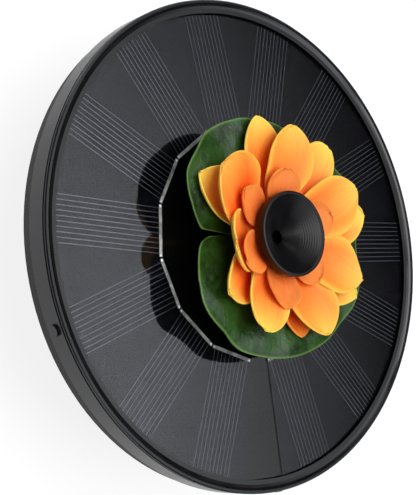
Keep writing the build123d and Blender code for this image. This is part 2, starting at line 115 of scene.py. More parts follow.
# Camera, fitted to the disc's ellipse and the cells in the photograph: places in metres, roll in
# degrees, lens and sensor in millimetres
CAM_AT = Vector((0.0521, -0.2710, 0.3442))
CAM_AIM = Vector((0.0030, -0.0217, 0.0593))
CAM_ROLL = 78.4
CAM_LENS = 78.8
SENSOR = 36.0

# Studio, in metres and degrees
LIGHT_AIM = Vector((0, 0, 0.07))
FLOOR_SIDE = 3.0
FLOOR_Z = -0.0003
FLOOR_GLOW = 0.84
CURTAIN_R = 1.2
CURTAIN_GAIN = 2.7
CURTAIN_LOW = 34
CURTAIN_HIGH = 66
CURTAIN_HALF_TURN = 75

# Fineness of the meshes
LEAF_ROWS = 26
LEAF_COLUMNS = 121
PETAL_ROWS = 26
PETAL_COLUMNS = 15
HUB_SIDES = 48
FUNNEL_SIDES = 128
FLARE_STEPS = 14
BOWL_STEPS = 120
CURTAIN_ROWS = 9
CURTAIN_COLUMNS = 13

# Corner order of a bar given as two ends of (low, high) pairs
BAR_FACES = ((0, 1, 3, 2), (4, 6, 7, 5), (0, 4, 5, 1), (2, 3, 7, 6), (1, 5, 7, 3), (0, 2, 6, 4))

# The resin's gloss, carried by everything that lies just under it
RESIN = dict(Coat_Weight=1.0, Coat_Roughness=0.0, Coat_IOR=1.5)


# ---- Mesh helpers ----


def add_object(name, mesh, body, material, replaced=()):
    """Puts a finished mesh in the scene, riding on a body."""
    piece = bpy.data.objects.new(name, mesh)
    bpy.context.scene.collection.objects.link(piece)
    mesh.materials.clear()
    mesh.materials.append(material)
    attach(piece, body)
    if replaced:
        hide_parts(*replaced)
    return piece


def new_mesh(name, points, faces, sharp_angle=40):
    """A smooth-shaded mesh from points in millimetres, with its doubles merged."""
    mesh = bpy.data.meshes.new(name)
    mesh.from_pydata([Vector(p) * MM for p in points], [], faces)
    return finished_mesh(mesh, 1e-6, sharp_angle)


def toned_mesh(name, points, faces, attribute, tones):
    """A mesh like new_mesh's, with a colour attribute that its material reads."""
    mesh = bpy.data.meshes.new(name)
    mesh.from_pydata([Vector(p) * MM for p in points], [], faces)
    layer = mesh.color_attributes.new(attribute, "FLOAT_COLOR", "POINT")
    for item, tone in zip(layer.data, tones):
        item.color = tone
    return finished_mesh(mesh, 2e-6, 80)


def finished_mesh(mesh, merge, sharp_angle):
    """Merges points closer than merge metres, turns the faces outward and shades them."""
    work = bmesh.new()
    work.from_mesh(mesh)
    bmesh.ops.remove_doubles(work, verts=work.verts, dist=merge)
    bmesh.ops.recalc_face_normals(work, faces=work.faces)
    work.to_mesh(mesh)
    work.free()
    mesh.polygons.foreach_set("use_smooth", [True] * len(mesh.polygons))
    mesh.set_sharp_from_angle(angle=math.radians(sharp_angle))
    return mesh


def round_off(piece):
    """One level of subdivision, which rounds the cut edges."""
    smooth = piece.modifiers.new("round", "SUBSURF")
    smooth.levels = 1
    smooth.render_levels = 1


def lathe(name, outline, segments, sharp_angle):
    """Turns a closed outline of (r, z) about the disc's axis."""
    points = []
    faces = []
    count = len(outline)
    for step in range(segments):
        turn = 2 * math.pi * step / segments
        for r, z in outline:
            points.append((r * math.cos(turn), r * math.sin(turn), z))
    for step in range(segments):
        here = step * count
        there = (step + 1) % segments * count
        for index in range(count):
            after = (index + 1) % count
            faces.append((here + index, there + index, there + after, here + after))
    return new_mesh(name, points, faces, sharp_angle)


def slab_from_grid(top, bottom, columns):
    """Points and faces of a closed slab between two grids that have the same columns."""
    rows = len(top) // columns
    shift = len(top)
    faces = []
    for row in range(rows - 1):
        for column in range(columns - 1):
            a = row * columns + column
            faces.append((a, a + 1, a + columns + 1, a + columns))
            faces.append(tuple(shift + k for k in (a, a + columns, a + columns + 1, a + 1)))
    edge = list(range(columns))
    edge += [row * columns + columns - 1 for row in range(1, rows)]
    edge += [(rows - 1) * columns + k for k in range(columns - 2, -1, -1)]
    edge += [row * columns for row in range(rows - 2, 0, -1)]
    for index, a in enumerate(edge):
        b = edge[(index + 1) % len(edge)]
        faces.append((a, a + shift, b + shift, b))
    return top + bottom, faces


def lerp(a, b, t):
    return a + (b - a) * t


def smooth_step(t):
    t = min(max(t, 0.0), 1.0)
    return t * t * (3 - 2 * t)


def sine(degrees):
    return math.sin(math.radians(degrees))


# ---- Materials ----


class Paint:
    """Builds one node material: a Principled surface with noise, mixes and bump."""

    def __init__(self, name, **sockets):
        self.material = bpy.data.materials.new(name)
        self.material.use_nodes = True
        self.tree = self.material.node_tree
        self.surface = self.tree.nodes["Principled BSDF"]
        for key, value in sockets.items():
            self.surface.inputs[key.replace("_", " ")].default_value = value
        coordinates = self.tree.nodes.new("ShaderNodeTexCoord")
        self.place = coordinates.outputs["Object"]

    def link(self, output, node, key):
        self.tree.links.new(output, node.inputs[key])

    def noise(self, size_mm, detail=2.0, stretch=(1, 1, 1), vector=None):
        """Noise whose features are about size_mm across."""
        mapping = self.tree.nodes.new("ShaderNodeMapping")
        mapping.inputs["Scale"].default_value = [k / (size_mm * MM) for k in stretch]
        self.link(vector or self.place, mapping, "Vector")
        noise = self.tree.nodes.new("ShaderNodeTexNoise")
        noise.inputs["Scale"].default_value = 1.0
        noise.inputs["Detail"].default_value = detail
        self.link(mapping.outputs["Vector"], noise, "Vector")
        return noise.outputs["Fac"]

    def attribute(self, name):
        """The red, green, blue and alpha of a colour attribute on the mesh."""
        read = self.tree.nodes.new("ShaderNodeAttribute")
        read.attribute_name = name
        split = self.tree.nodes.new("ShaderNodeSeparateColor")
        self.link(read.outputs["Color"], split, "Color")
        return split.outputs["Red"], split.outputs["Green"], split.outputs["Blue"], read.outputs["Alpha"]

    def axis(self, name):
        """One coordinate of the place, in metres."""
        split = self.tree.nodes.new("ShaderNodeSeparateXYZ")
        self.link(self.place, split, "Vector")
        return split.outputs[name]

    def ramp(self, value, low, high, start=0.0, end=1.0):
        """Maps value from low..high to start..end."""
        node = self.tree.nodes.new("ShaderNodeMapRange")
        node.inputs["From Min"].default_value = low
        node.inputs["From Max"].default_value = high
        node.inputs["To Min"].default_value = start
        node.inputs["To Max"].default_value = end
        self.link(value, node, "Value")
        return node.outputs["Result"]

    def math(self, operation, a, b):
        node = self.tree.nodes.new("ShaderNodeMath")
        node.operation = operation
        for index, value in enumerate((a, b)):
            if isinstance(value, (int, float)):
                node.inputs[index].default_value = value
            else:
                self.tree.links.new(value, node.inputs[index])
        return node.outputs["Value"]

    def blend(self, fac, a, b):
        """Mixes two colours, each a tuple or another node's output."""
        node = self.tree.nodes.new("ShaderNodeMix")
        node.data_type = "RGBA"
        self.tree.links.new(fac, node.inputs["Factor"])
        for socket, value in ((node.inputs[6], a), (node.inputs[7], b)):
            if isinstance(value, tuple):
                socket.default_value = (*value, 1.0)
            else:
                self.tree.links.new(value, socket)
        return node.outputs[2]

    def colour(self, output):
        self.link(output, self.surface, "Base Color")

    def roughness(self, output):
        self.link(output, self.surface, "Roughness")

    def bump(self, height, depth_mm, strength=1.0):
        """Bump of a real depth, stacked on any bump already there."""
        node = self.tree.nodes.new("ShaderNodeBump")
        node.inputs["Strength"].default_value = strength
        node.inputs["Distance"].default_value = depth_mm * MM
        self.link(height, node, "Height")
        socket = self.surface.inputs["Normal"]
        if socket.is_linked:
            self.link(socket.links[0].from_socket, node, "Normal")
        self.link(node.outputs["Normal"], self.surface, "Normal")


def moulded(name, dark, light, rough, grain_mm=0.7, depth_mm=0.006, **sockets):
    """Moulded plastic or rubber: faint mottling, uneven sheen and a fine moulded grain."""
    paint = Paint(name, **sockets)
    cloud = paint.noise(9.0, 3.0)
    paint.colour(paint.blend(paint.ramp(cloud, 0.35, 0.65), dark, light))
    fine = paint.noise(grain_mm, 2.0)
    paint.roughness(paint.ramp(cloud, 0.3, 0.7, rough - 0.05, rough + 0.06))
    paint.bump(fine, depth_mm)
    return paint.material


def metal(name, dark, light, rough, **sockets):
    """Bare metal with scuffs."""
    paint = Paint(name, Metallic=1.0, **sockets)
    scuff = paint.noise(1.4, 4.0)
    paint.colour(paint.blend(paint.ramp(scuff, 0.35, 0.68), dark, light))
    paint.roughness(paint.ramp(scuff, 0.3, 0.7, rough + 0.12, rough - 0.06))
    paint.bump(scuff, 0.01)
    return paint.material


def housing_plastic():
    """Gloss black moulding whose foot band and underside have a coarser spark finish."""
    paint = Paint("housing_plastic", Specular_IOR_Level=0.38)
    cloud = paint.noise(9.0, 3.0)
    grain = paint.noise(0.8, 3.0)
    gloss = paint.ramp(paint.axis("Z"), (BAND_BOTTOM - 0.15) * MM, (BAND_BOTTOM + 0.15) * MM)
    patches = paint.ramp(cloud, 0.35, 0.65)
    shade = paint.blend(patches, (0.0042, 0.0046, 0.0068), (0.0062, 0.0067, 0.0098))
    specks = paint.ramp(grain, 0.35, 0.65)
    rough_shade = paint.blend(specks, (0.0030, 0.0031, 0.0034), (0.0080, 0.0080, 0.0080))
    paint.colour(paint.blend(gloss, rough_shade, shade))
    sheen = paint.ramp(cloud, 0.3, 0.7, 0.24, 0.32)
    coarse = paint.ramp(grain, 0.3, 0.7, 0.62, 0.72)
    mix = paint.math("MULTIPLY", gloss, paint.math("SUBTRACT", sheen, coarse))
    paint.roughness(paint.math("ADD", coarse, mix))
    paint.bump(paint.math("MULTIPLY", grain, paint.ramp(gloss, 0.0, 1.0, 1.0, 0.06)), 0.05)
    return paint.material


def cell_silicon():
    """Near-black silicon with a trace of blue and a fine texture."""
    paint = Paint("cell_silicon", Specular_IOR_Level=0.0, **RESIN)
    cloud = paint.noise(6.0, 2.0)
    paint.colour(paint.blend(paint.ramp(cloud, 0.3, 0.7), (0.0012, 0.0013, 0.0018), (0.0022, 0.0022, 0.0030)))
    paint.roughness(paint.ramp(paint.noise(0.5), 0.3, 0.7, 0.42, 0.55))
    return paint.material


def panel_board_black():
    """Black solder-mask board under the cells."""
    paint = Paint("board_mask", Specular_IOR_Level=0.0, **RESIN)
    cloud = paint.noise(4.0, 3.0)
    paint.colour(paint.blend(paint.ramp(cloud, 0.3, 0.7), (0.0008, 0.0009, 0.0007), (0.0016, 0.0017, 0.0014)))
    paint.roughness(paint.ramp(cloud, 0.3, 0.7, 0.4, 0.52))
    return paint.material


def clear_cover():
    """Poured clear resin over the panel: faintly tinted, its gloss given by what lies under it."""
    paint = Paint("cover_resin", Transmission_Weight=1.0, IOR=1.0)
    paint.colour(paint.blend(paint.noise(25.0), (0.97, 0.98, 0.99), (1.0, 1.0, 1.0)))
    paint.roughness(paint.ramp(paint.noise(12.0, 2.0), 0.3, 0.7, 0.0, 0.012))
    return paint.material


def finger_silver():
    """Printed silver fingers, greyed by the resin over them."""
    paint = Paint("finger_silver", Metallic=1.0, **RESIN)
    broken = paint.noise(1.1, 3.0)
    paint.colour(paint.blend(paint.ramp(broken, 0.3, 0.7), (0.034, 0.034, 0.044), (0.052, 0.052, 0.066)))
    paint.roughness(paint.ramp(broken, 0.3, 0.7, 0.3, 0.4))
    return paint.material


def ribbon_tin():
    """Tinned ribbon: silvery, with dull flux-stained patches."""
    paint = Paint("ribbon_tin", Metallic=0.3, Specular_IOR_Level=0.3, **RESIN)
    stain = paint.noise(3.0, 3.0)
    paint.colour(paint.blend(paint.ramp(stain, 0.38, 0.62), (0.10, 0.104, 0.096), (0.26, 0.264, 0.25)))
    paint.roughness(paint.ramp(stain, 0.3, 0.7, 0.55, 0.4))
    paint.bump(paint.noise(0.6, 2.0), 0.03)
    return paint.material


def solder_bright():
    """Bright, slightly rippled solder."""
    paint = Paint("solder_bright", Metallic=0.7, **RESIN)
    ripple = paint.noise(0.7, 2.0)
    paint.colour(paint.blend(paint.ramp(ripple, 0.3, 0.7), (0.62, 0.62, 0.6), (0.95, 0.95, 0.93)))
    paint.roughness(paint.ramp(ripple, 0.3, 0.7, 0.28, 0.4))
    paint.bump(ripple, 0.03)
    return paint.material


def foam_petal(name, base, body, edge, veined):
    """EVA foam petal: deeper colour towards the root, partly the foam's own and partly painted shade,
    deepened further by each petal's painted shading; lighter body, yellow rim, and pressed veins darkened in
    their creases as painted shade.
    """
    paint = Paint(name, Specular_IOR_Level=0.25)
    along, across, rim_share, painted_shading = paint.attribute("petal")
    cloud = paint.noise(7.0, 3.0)
    drift = paint.math("MULTIPLY", paint.math("SUBTRACT", cloud, 0.5), 0.5)
    # Painted shade: painted_shading pulls a petal's colour towards its deep root colour; below zero it
    # lightens the petal as painted light.
    open_up = paint.math("SUBTRACT", paint.math("ADD", along, drift), painted_shading)
    # Deeper orange at the root: partly the foam's own colour, partly painted shade.
    shaded = paint.blend(paint.ramp(open_up, 0.0, 0.62), base, body)
    outside = paint.math("MAXIMUM", across, paint.ramp(along, 0.3, 1.0, 0.3, 1.0))
    rim = paint.math("POWER", paint.ramp(outside, 0.4, 1.0), 2.0)
    tinted = paint.blend(paint.math("MULTIPLY", rim, rim_share), shaded, edge)
    lines = paint.tree.nodes.new("ShaderNodeCombineXYZ")
    paint.link(paint.math("MULTIPLY", along, 0.0035), lines, "X")
    paint.link(paint.math("MULTIPLY", across, 0.022), lines, "Y")
    paint.link(rim_share, lines, "Z")
    veins = paint.noise(1.4, 3.0, vector=lines.outputs["Vector"])
    # Painted shade: the colour darkens towards the root colour along the pressed veins' creases.
    vein_crease_shade = paint.ramp(veins, 0.54, 0.70, 0.0, veined)
    paint.colour(paint.blend(vein_crease_shade, tinted, base))
    paint.roughness(paint.ramp(cloud, 0.3, 0.7, 0.5, 0.64))
    paint.bump(paint.noise(0.35, 2.0), 0.02)
    paint.bump(veins, 0.10)
    return paint.material


def leaf_skin():
    """Leaf: dark mottled green with a paler rim that is a painted highlight along the edge, radial veins and
    a waxy sheen.
    """
    paint = Paint("leaf_skin", Specular_IOR_Level=0.36)
    along, vein, _, _ = paint.attribute("leaf")
    patch = paint.noise(10.0, 4.0)
    small = paint.noise(2.2, 3.0)
    dark = paint.blend(paint.ramp(patch, 0.38, 0.64), (0.003, 0.020, 0.001), (0.020, 0.075, 0.007))
    mottled = paint.blend(paint.ramp(small, 0.5, 0.75, 0.0, 0.45), dark, (0.035, 0.085, 0.022))
    veined = paint.blend(paint.ramp(vein, 0.2, 1.0, 0.0, 0.3), mottled, (0.045, 0.11, 0.03))
    # Painted highlight: a paler green along the leaf's edge.
    paint.colour(paint.blend(paint.ramp(along, 0.975, 1.0), veined, (0.11, 0.24, 0.04)))
    paint.roughness(paint.ramp(small, 0.3, 0.7, 0.30, 0.46))
    paint.bump(patch, 1.3, 0.9)
    paint.bump(vein, 0.18, 0.8)
    paint.bump(small, 0.22)
    return paint.material


def sponge_foam():
    """Open-cell filter foam."""
    paint = Paint("sponge_foam", Roughness=0.95, Specular_IOR_Level=0.1)
    cells = paint.tree.nodes.new("ShaderNodeTexVoronoi")
    cells.inputs["Scale"].default_value = 1.0
    mapping = paint.tree.nodes.new("ShaderNodeMapping")
    mapping.inputs["Scale"].default_value = [1 / (1.3 * MM)] * 3
    paint.link(paint.place, mapping, "Vector")
    paint.link(mapping.outputs["Vector"], cells, "Vector")
    hollow = cells.outputs["Distance"]
    paint.colour(paint.blend(paint.ramp(hollow, 0.1, 0.6), (0.004, 0.004, 0.004), (0.05, 0.05, 0.055)))
    paint.bump(hollow, 0.5)
    return paint.material


def dress_cad_nodes():
    """Gives every CAD node the material of its record slot, in place of the flat import."""
    looks = {
        "housing_black": housing_plastic(),
        "board_black": panel_board_black(),
        "cell_black": cell_silicon(),
        "tinned_ribbon": ribbon_tin(),
        "clear_resin": clear_cover(),
        "seal_black": moulded(
            "seal_bead", (0.0035, 0.0035, 0.0045), (0.0060, 0.0060, 0.0075), 0.14, 2.0, 0.004
        ),
        "rubber_black": moulded("rubber", (0.010, 0.010, 0.011), (0.018, 0.018, 0.019), 0.6),
        "board_green": moulded("circuit_green", (0.010, 0.085, 0.030), (0.016, 0.120, 0.045), 0.35),
        "package_black": moulded("chip_epoxy", (0.012, 0.012, 0.013), (0.022, 0.022, 0.024), 0.5),
        "screw_steel": metal("screw_metal", (0.45, 0.45, 0.46), (0.70, 0.70, 0.71), 0.28),
        "wire_red": moulded("wire_sheath", (0.38, 0.014, 0.010), (0.52, 0.022, 0.015), 0.4),
        "pump_black": moulded("pump_plastic", (0.009, 0.009, 0.010), (0.015, 0.015, 0.017), 0.42),
        "core_steel": metal("lamination_steel", (0.28, 0.28, 0.30), (0.46, 0.46, 0.48), 0.42),
        "copper": metal("enamelled_copper", (0.50, 0.17, 0.06), (0.72, 0.30, 0.12), 0.3),
        "potting_black": moulded("potting_epoxy", (0.008, 0.008, 0.009), (0.016, 0.016, 0.018), 0.22),
        "ceramic_white": moulded("ceramic", (0.72, 0.71, 0.68), (0.82, 0.81, 0.78), 0.2),
        "ferrite": moulded("ferrite_magnet", (0.035, 0.035, 0.037), (0.070, 0.070, 0.072), 0.5),
        "impeller_white": moulded("acetal_white", (0.68, 0.68, 0.66), (0.78, 0.78, 0.76), 0.38),
        "graphite": moulded("graphite_bush", (0.03, 0.03, 0.032), (0.06, 0.06, 0.062), 0.45),
        "sponge_dark": sponge_foam(),
        "nozzle_black": moulded("nozzle_plastic", (0.010, 0.010, 0.011), (0.017, 0.017, 0.018), 0.36),
    }
    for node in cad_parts.values():
        for index, old in enumerate(node.data.materials):
            if old.name in looks:
                node.data.materials[index] = looks[old.name]
    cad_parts["panel_cover"].visible_shadow = False


# ---- Panel details ----


def on_panel(index, out, side, z):
    """A point on one cell: out along its middle, side across it."""
    turn = math.radians(POLYGON_FACING + (index - (CELL_COUNT - 1) / 2) * CELL_PITCH)
    x = out * math.cos(turn) - side * math.sin(turn)
    y = out * math.sin(turn) + side * math.cos(turn)
    return x, y, z


def finger_lines():
    """Ten parallel printed lines on each cell, from the polygon's side to a circle."""
    apothem = POLYGON_R * math.cos(math.radians(CELL_PITCH / 2))
    points = []
    faces = []
    for cell in range(CELL_COUNT):
        for line in range(FINGERS_PER_CELL):
            middle = (line - (FINGERS_PER_CELL - 1) / 2) * FINGER_PITCH
            far = math.sqrt(FINGER_END_R**2 - middle**2)
            first = len(points)
            for out in (apothem + FINGER_START, far):
                for side in (middle - FINGER_W / 2, middle + FINGER_W / 2):
                    for z in (CELL_FACE_Z, CELL_FACE_Z + FINGER_T):
                        points.append(on_panel(cell, out, side, z))
            faces += [tuple(first + k for k in face) for face in BAR_FACES]
    mesh = new_mesh("finger_lines", points, faces)
    return add_object("finger_lines", mesh, "float", finger_silver())


def gap_strips():
    """Black resin that fills the narrow gaps between neighbouring cells, flush with their faces."""
    points = []
    faces = []
    corner = math.radians(CELL_PITCH / 2)
    for cell in range(CELL_COUNT - 1):
        first = len(points)
        for out in (POLYGON_R + GAP_FILL_START, CELL_OUT - 0.1):
            for half in (-GAP_FILL_W / 2, GAP_FILL_W / 2):
                for z in (CELL_FACE_Z - GAP_FILL_T, CELL_FACE_Z - 0.002):
                    x = out * math.cos(corner) - half * math.sin(corner)
                    y = out * math.sin(corner) + half * math.cos(corner)
                    points.append(on_panel(cell, x, y, z))
        faces += [tuple(first + k for k in face) for face in BAR_FACES]
    mesh = new_mesh("gap_strips", points, faces)
    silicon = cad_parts["solar_cell_01"].data.materials[0]
    return add_object("gap_strips", mesh, "float", silicon)


def solder_blob(cell, side, size, points, faces):
    """Adds one low blob of solder, side millimetres along a cell's ribbon."""
    apothem = POLYGON_R * math.cos(math.radians(CELL_PITCH / 2))
    low = RIBBON_TOP_Z - SOLDER_SUNK
    first = len(points)
    for scale, rise in SOLDER_RINGS:
        for step in range(SOLDER_SIDES):
            turn = 2 * math.pi * step / SOLDER_SIDES
            wobble = 1 + SOLDER_WOBBLE * math.sin(3 * turn + cell)
            out = apothem + SOLDER_NARROWING * size * scale * wobble * math.cos(turn)
            across = side + size * scale * wobble * math.sin(turn)
            points.append(on_panel(cell, out, across, low + SOLDER_T * rise))
    points.append(on_panel(cell, apothem, side, low + SOLDER_T))
    points.append(on_panel(cell, apothem, side, low))
    crown = len(points) - 2
    for level in range(len(SOLDER_RINGS) - 1):
        for step in range(SOLDER_SIDES):
            a = first + level * SOLDER_SIDES + step
            b = first + level * SOLDER_SIDES + (step + 1) % SOLDER_SIDES
            faces.append((a, b, b + SOLDER_SIDES, a + SOLDER_SIDES))
    last = first + (len(SOLDER_RINGS) - 1) * SOLDER_SIDES
    for step in range(SOLDER_SIDES):
        after = (step + 1) % SOLDER_SIDES
        faces.append((last + step, last + after, crown))
        faces.append((first + after, first + step, crown + 1))


def solder_dots():
    """A blob of solder near each end of every ribbon, no two quite the same size."""
    reach = POLYGON_R * math.sin(math.radians(CELL_PITCH / 2)) - SOLDER_INSET
    points = []
    faces = []
    for cell in range(CELL_COUNT):
        for end in (-1, 1):
            size = SOLDER_R + SOLDER_R_SPREAD * math.sin(7.3 * cell + 2.1 * end)
            solder_blob(cell, end * reach, size, points, faces)
    mesh = new_mesh("solder_dots", points, faces, 80)
    return add_object("solder_dots", mesh, "float", solder_bright())


# ---- Leaf ----

# Direction and radius of the leaf's edge, round from one side of the notch to the other
LEAF_OUTLINE = (
    (271.5, 30.5), (274, 34.6), (278.5, 37.0), (285, 38.9), (294, 41.2), (302, 43.6), (311, 44.8),
    (322, 43.3), (334, 44.6), (350, 43.6), (370, 43.0), (395, 44.0), (425, 44.2), (450, 43.0),
    (478, 43.8), (505, 42.4), (530, 40.6), (546, 42.2), (561, 44.6), (577, 46.0), (590, 46.2),
    (603, 45.6), (611, 43.2), (618, 39.6), (624, 36.4), (628.5, 34.2),
)


def leaf_reach(angle):
    """Leaf radius in a direction, eased between the outline's points.

    Directions inside the notch take the first point's radius.
    """
    first = LEAF_OUTLINE[0][0]
    last = LEAF_OUTLINE[-1][0]
    turned = angle if first <= angle <= last else first
    for (start, near), (end, far) in zip(LEAF_OUTLINE, LEAF_OUTLINE[1:]):
        if turned <= end:
            break
    share = (turned - start) / (end - start)
    return lerp(near, far, 0.5 * share + 0.5 * smooth_step(share))


def leaf_height(r, angle):
    """Height of the upper face: a shallow dish, waved, fluted and puckered, whose rim droops."""
    share = min(r / LEAF_R, 1.05)
    root = 0.5 * smooth_step(share / 0.5)
    rise = lerp(LEAF_RISE_LOW_SIDE, LEAF_RISE_HIGH_SIDE, 0.5 + 0.5 * sine(angle - 5)) * share**2
    wave = LEAF_WAVE * share**3 * sine(6 * angle + 70)
    flute = LEAF_FLUTE * share**2 * sine(13 * angle + 60 * sine(3 * angle))
    swirl = r * 0.5 + 3.0 * sine(7 * angle) + math.radians(4 * angle)
    pucker = LEAF_PUCKER * share**2 * math.sin(swirl)
    droop = -LEAF_DROOP * smooth_step((share - 0.86) / 0.16)
    return LEAF_ROOT_Z + root + rise + wave + flute + pucker + droop


def leaf():
    """Notched lotus leaf: a waved sheet with a rounded rim and raised radial veins."""
    top = []
    bottom = []
    tones = []
    for row in range(LEAF_ROWS):
        share = 1 - (1 - row / (LEAF_ROWS - 1)) ** 1.5
        for column in range(LEAF_COLUMNS):
            turn = column / (LEAF_COLUMNS - 1)
            opening = smooth_step((share - 0.55) / 0.5)
            start = NOTCH_AT + 0.25 + 1.4 * opening
            end = NOTCH_AT + 360 - 0.25 - 1.8 * opening
            angle = lerp(start, end, turn)
            r = lerp(HOLE_R, leaf_reach(angle), share)
            z = leaf_height(r, angle)
            thick = LEAF_T * lerp(1.0, 0.55, smooth_step((share - 0.7) / 0.3))
            vein = max(0.0, 1 - abs(sine(angle * 9)) * 5)
            x = r * math.cos(math.radians(angle))
            y = r * math.sin(math.radians(angle))
            top.append((x, y, z))
            bottom.append((x, y, z - thick))
            # near_edge marks the rim and notch edges that get the painted highlight.
            edge_turn = min(turn, 1 - turn) * 360 / 1.2
            near_edge = max(share, 1 - edge_turn if share > 0.5 else 0.0)
            tones.append((near_edge, vein * smooth_step(share / 0.2), 0.0, 1.0))
    points, faces = slab_from_grid(top, bottom, LEAF_COLUMNS)
    mesh = toned_mesh("lotus_leaf", points, faces, "leaf", tones + tones)
    piece = add_object("lotus_leaf", mesh, "ornament", leaf_skin(), ["leaf_pad"])
    round_off(piece)
    return piece


# ---- Petals ----

# What a petal's values mean: angle is its direction; start and reach are where it begins and ends, out
# from the axis; high is its tip's height, steep how late it rises and sag its bow; tip and root shape
# its outline; flat is how far it stays flat; cup, tilt, crease and skew bend it in millimetres; rim
# is how yellow its edge is, and painted_shading deepens its colour as painted shade (below zero it
# lightens it as painted light).


def petal_width(t, tip, root):
    """Half-width share along a petal: a narrow root, widest past the middle, a rounded point."""
    if t < PETAL_WIDEST:
        return lerp(root, 1.0, math.sin(0.5 * math.pi * t / PETAL_WIDEST) ** 1.1)
    return max(1 - ((t - PETAL_WIDEST) / (1 - PETAL_WIDEST)) ** 2.1, 0.0) ** tip


def petal_centre(p, t):
    """(r, z) of a petal's middle line."""
    r = lerp(p["start"], p["reach"], t)
    z = lerp(p["low"], p["high"], t ** p["steep"]) + p["sag"] * math.sin(math.pi * t)
    return r, z


def petal_point(p, t, v):
    """A point of the upper face, v from -1 to 1 across."""
    r, z = petal_centre(p, t)
    r2, z2 = petal_centre(p, t + 0.01)
    length = math.hypot(r2 - r, z2 - z)
    normal_r = -(z2 - z) / length
    normal_z = (r2 - r) / length
    share = petal_width(t, p["tip"], p["root"])
    full = smooth_step((t - p["flat"]) / 0.4)
    lift = p["cup"] * full * share**1.3 * abs(v) ** 2.0
    lift += p["tilt"] * full * share * v
    lift += PETAL_WAVE * full * math.sin(7 * t + 3.4 * v + p["angle"])
    lift -= p["crease"] * full * math.exp(-(((v - 0.15) / 0.2) ** 2)) * (1 - 0.6 * t)
    side = v * p["width"] / 2 * share * (1 - 0.10 * v * v) + p["skew"] * t * t
    turn = math.radians(p["angle"])
    r += normal_r * lift
    z += normal_z * lift
    x = r * math.cos(turn) - side * math.sin(turn)
    y = r * math.sin(turn) + side * math.cos(turn)
    return Vector((x, y, z))


def petal_shell(p):
    """Points, faces and tones of one petal, thick at the root and thin along its rim."""
    top = []
    bottom = []
    tones = []
    step = 0.004
    for row in range(PETAL_ROWS):
        t = 1 - (1 - row / (PETAL_ROWS - 1)) ** 1.9
        t = min(t, 0.9995)
        for column in range(PETAL_COLUMNS):
            v = math.sin(math.pi / 2 * (2 * column / (PETAL_COLUMNS - 1) - 1))
            here = petal_point(p, t, v)
            along = petal_point(p, t + step, v) - here
            across = petal_point(p, t, v + step) - petal_point(p, t, v - step)
            normal = along.cross(across)
            if normal.length < 1e-9:
                normal = Vector((0, 0, 1))
            normal.normalize()
            if normal.z < 0:
                normal = -normal
            thin = max(abs(v) ** 6, smooth_step((t - 0.8) / 0.2) ** 2)
            top.append(tuple(here))
            bottom.append(tuple(here - normal * PETAL_T * lerp(1.0, 0.5, thin)))
            # The fourth tone is the petal's painted shading: painted shade above zero, painted light below
            # zero.
            tones.append((t, abs(v), p["rim"], p["painted_shading"]))
    points, faces = slab_from_grid(top, bottom, PETAL_COLUMNS)
    return points, faces, tones + tones


def hub_shell(top):
    """The flat ring that joins a whorl's petals round the nozzle."""
    corners = ((HOLE_R, top - HUB_T), (HUB_R, top - HUB_T), (HUB_R, top), (HOLE_R, top))
    points = []
    faces = []
    for r, z in corners:
        for k in range(HUB_SIDES):
            turn = 2 * math.pi * k / HUB_SIDES
            points.append((r * math.cos(turn), r * math.sin(turn), z))
    for ring in range(len(corners)):
        here = ring * HUB_SIDES
        there = (ring + 1) % len(corners) * HUB_SIDES
        for k in range(HUB_SIDES):
            after = (k + 1) % HUB_SIDES
            faces.append((here + k, here + after, there + after, there + k))
    return points, faces, [(0.0, 0.0, 0.0, 0.0)] * len(points)


def whorl(name, node, material, low, common, petals):
    """One foam sheet of petals; each petal gives what differs from the whorl's own shape."""
    points, faces, tones = hub_shell(low)
    for own in petals:
        p = {**common, **own, "low": low}
        shell_points, shell_faces, shell_tones = petal_shell(p)
        first = len(points)
        points = points + shell_points
        tones = tones + shell_tones
        faces = faces + [tuple(first + k for k in face) for face in shell_faces]
    mesh = toned_mesh(name, points, faces, "petal", tones)
    piece = add_object(name, mesh, "ornament", material, [node])
    round_off(piece)
    return piece


